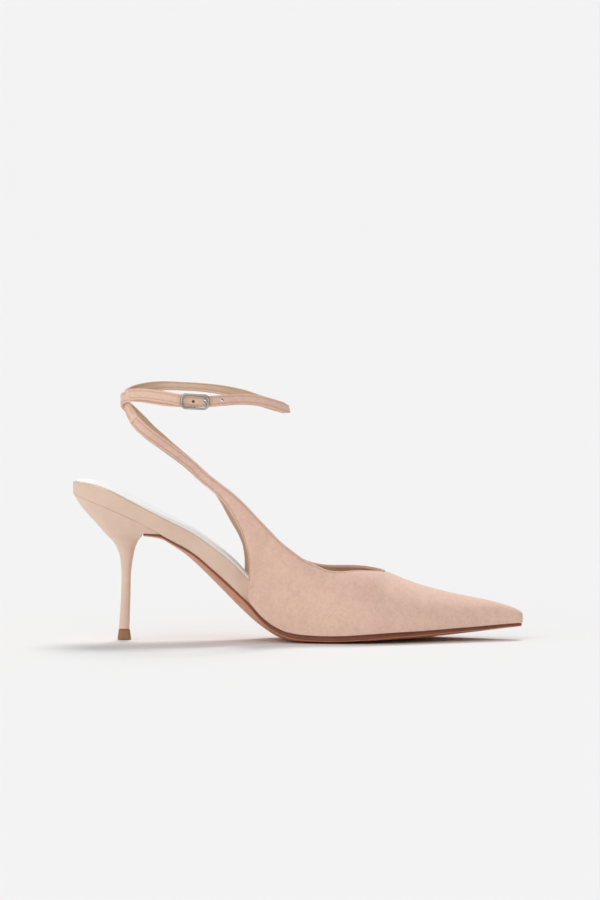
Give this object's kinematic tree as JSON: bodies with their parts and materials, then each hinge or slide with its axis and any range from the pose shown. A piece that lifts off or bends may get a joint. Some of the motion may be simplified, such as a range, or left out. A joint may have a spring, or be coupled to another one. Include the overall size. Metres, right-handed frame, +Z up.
{
  "type": "ankle strap pump",
  "caption": "Pointed high-heeled pump with open sides, a two-winged suede front, a covered insole board and slim heel, and straps that cross behind the ankle and buckle round it.",
  "frame": {"origin": "middle of the heel tip's foot on the floor", "axes": "+X to the toe, +Z up, -Y to the outer side that carries the buckle"},
  "size_m": [0.2499, 0.0746, 0.1428],
  "materials": {
    "suede": "blush suede with a short nap, lined in tan leather",
    "covered_leather": "smooth nude leather, satin",
    "sock_leather": "smooth cream leather, matt",
    "sole_leather": "waxed red-brown sole leather",
    "top_piece": "matt brown",
    "nickel": "polished nickel"
  },
  "bodies": {
    "root": {"outsole": "sole_leather", "insole_board": "covered_leather", "insole_sock": "sock_leather", "heel": "covered_leather", "heel_tip": "top_piece", "upper": "suede", "ankle_strap": "suede", "buckle_strap": "suede", "buckle_frame": "nickel", "buckle_prong": "nickel"}
  },
  "joints": []
}
